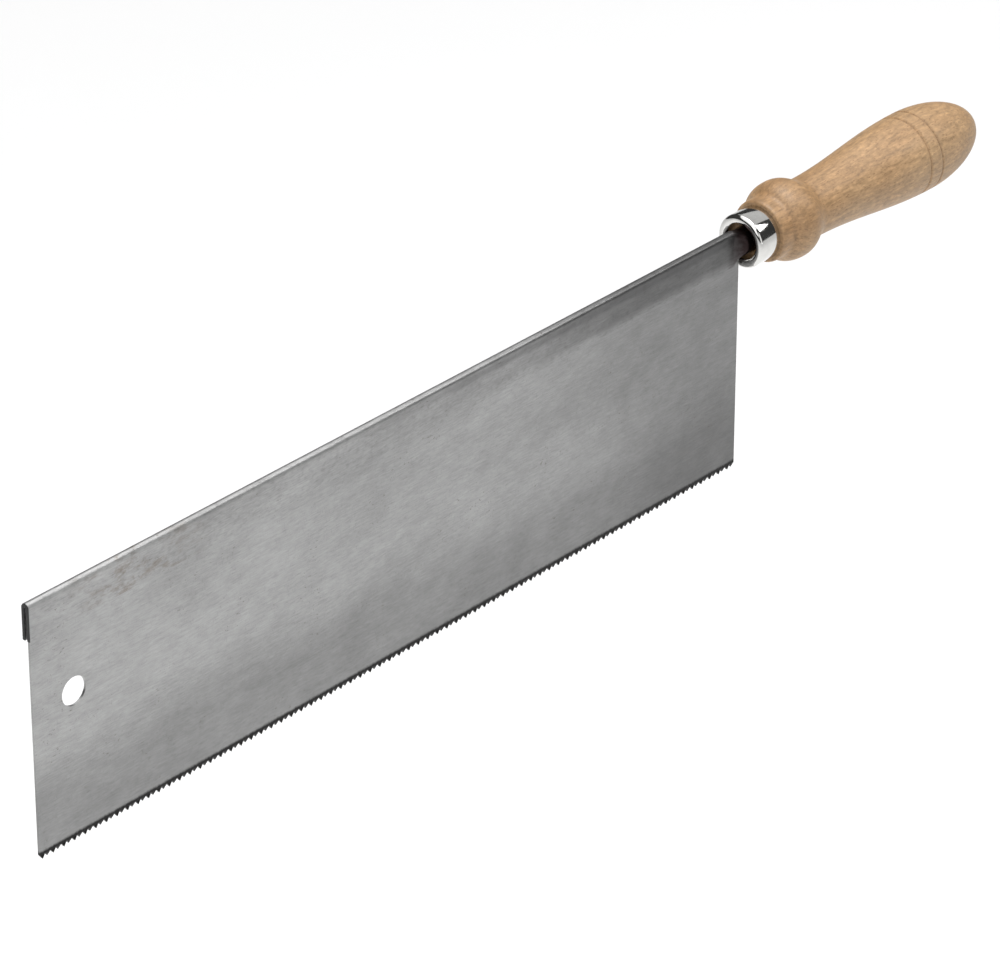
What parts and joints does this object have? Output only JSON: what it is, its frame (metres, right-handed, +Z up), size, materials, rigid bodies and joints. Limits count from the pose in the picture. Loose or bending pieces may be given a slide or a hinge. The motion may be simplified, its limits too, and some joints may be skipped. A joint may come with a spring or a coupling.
{
  "type": "back saw",
  "caption": "Straight-handled back saw: fine-toothed steel plate with a hanging hole, stiffened by a folded steel back whose tang runs through a plated ferrule into a turned wooden handle.",
  "frame": {"origin": "on the handle's axis, in the middle of the grip", "axes": "+Z up, from the teeth to the back; +X along the saw, from the toe of the blade to the end of the handle; +Y through the thickness of the plate"},
  "size_m": [0.4144, 0.0268, 0.0919],
  "materials": {
    "blade_steel": "fine lengthwise brushing, dark tooth line",
    "back_steel": "rolled sheet, bright along the crown",
    "plated_steel": "polished nickel plate",
    "beech": "turned and waxed, with fine darker flecks"
  },
  "bodies": {
    "root": {"saw_plate": "blade_steel", "folded_back": "back_steel", "tang": "back_steel", "ferrule": "plated_steel", "handle": "beech"}
  },
  "joints": []
}
